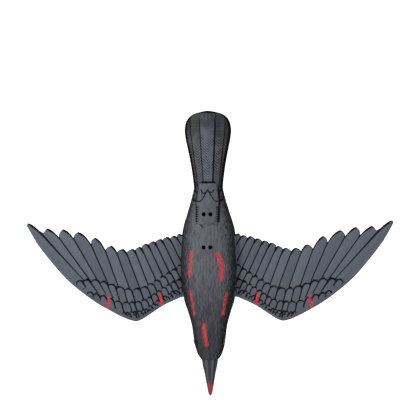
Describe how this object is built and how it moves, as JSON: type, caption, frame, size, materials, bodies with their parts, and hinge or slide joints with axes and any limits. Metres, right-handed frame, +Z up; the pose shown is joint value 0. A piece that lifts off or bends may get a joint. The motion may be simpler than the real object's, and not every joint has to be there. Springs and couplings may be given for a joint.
{
  "type": "motion wing decoy",
  "caption": "Hanging black bird decoy with a hollow body, a fixed tail and two feathered wings that swing up on hinges, with paired hang holes in its back.",
  "frame": {"origin": "on the crown of the back, midway between the two middle hang holes", "axes": "+X across the span to the bird's own left, -Y along the beak, +Z up as it hangs"},
  "size_m": [0.552, 0.4265, 0.0741],
  "materials": {
    "body_plastic": "black moulded plastic with fine feather streaks, satin, with red paint strokes",
    "tail_plastic": "black moulded plastic with combed feather barbs, satin",
    "wing_plastic": "charcoal moulded plastic in feather relief, satin, with red paint strokes",
    "frame_plastic": "plain black moulded plastic",
    "eye_plastic": "polished black",
    "zinc_steel": "zinc plated"
  },
  "bodies": {
    "body": {"back_shell": "body_plastic", "belly_shell": "body_plastic", "beak": "body_plastic", "left_eye": "eye_plastic", "right_eye": "eye_plastic", "tail_fan": "tail_plastic", "tail_screws": "zinc_steel", "shell_screws": "zinc_steel", "hinge_frame": "frame_plastic", "frame_screws": "zinc_steel", "left_hinge_pin": "zinc_steel", "right_hinge_pin": "zinc_steel", "left_pin_clips": "zinc_steel", "right_pin_clips": "zinc_steel"},
    "left_wing": {"left_wing": "wing_plastic", "left_hinge_leaf": "zinc_steel", "left_leaf_rivets": "zinc_steel"},
    "right_wing": {"right_wing": "wing_plastic", "right_hinge_leaf": "zinc_steel", "right_leaf_rivets": "zinc_steel"}
  },
  "joints": [
    {"name": "left_wing_flap", "type": "hinge", "parent": "body", "child": "left_wing", "pos_m": [0.03, -0.028, -0.034], "axis": [0, -1, 0], "range_deg": [0, 30]},
    {"name": "right_wing_flap", "type": "hinge", "parent": "body", "child": "right_wing", "pos_m": [-0.03, -0.028, -0.034], "axis": [0, 1, 0], "range_deg": [0, 30]}
  ]
}
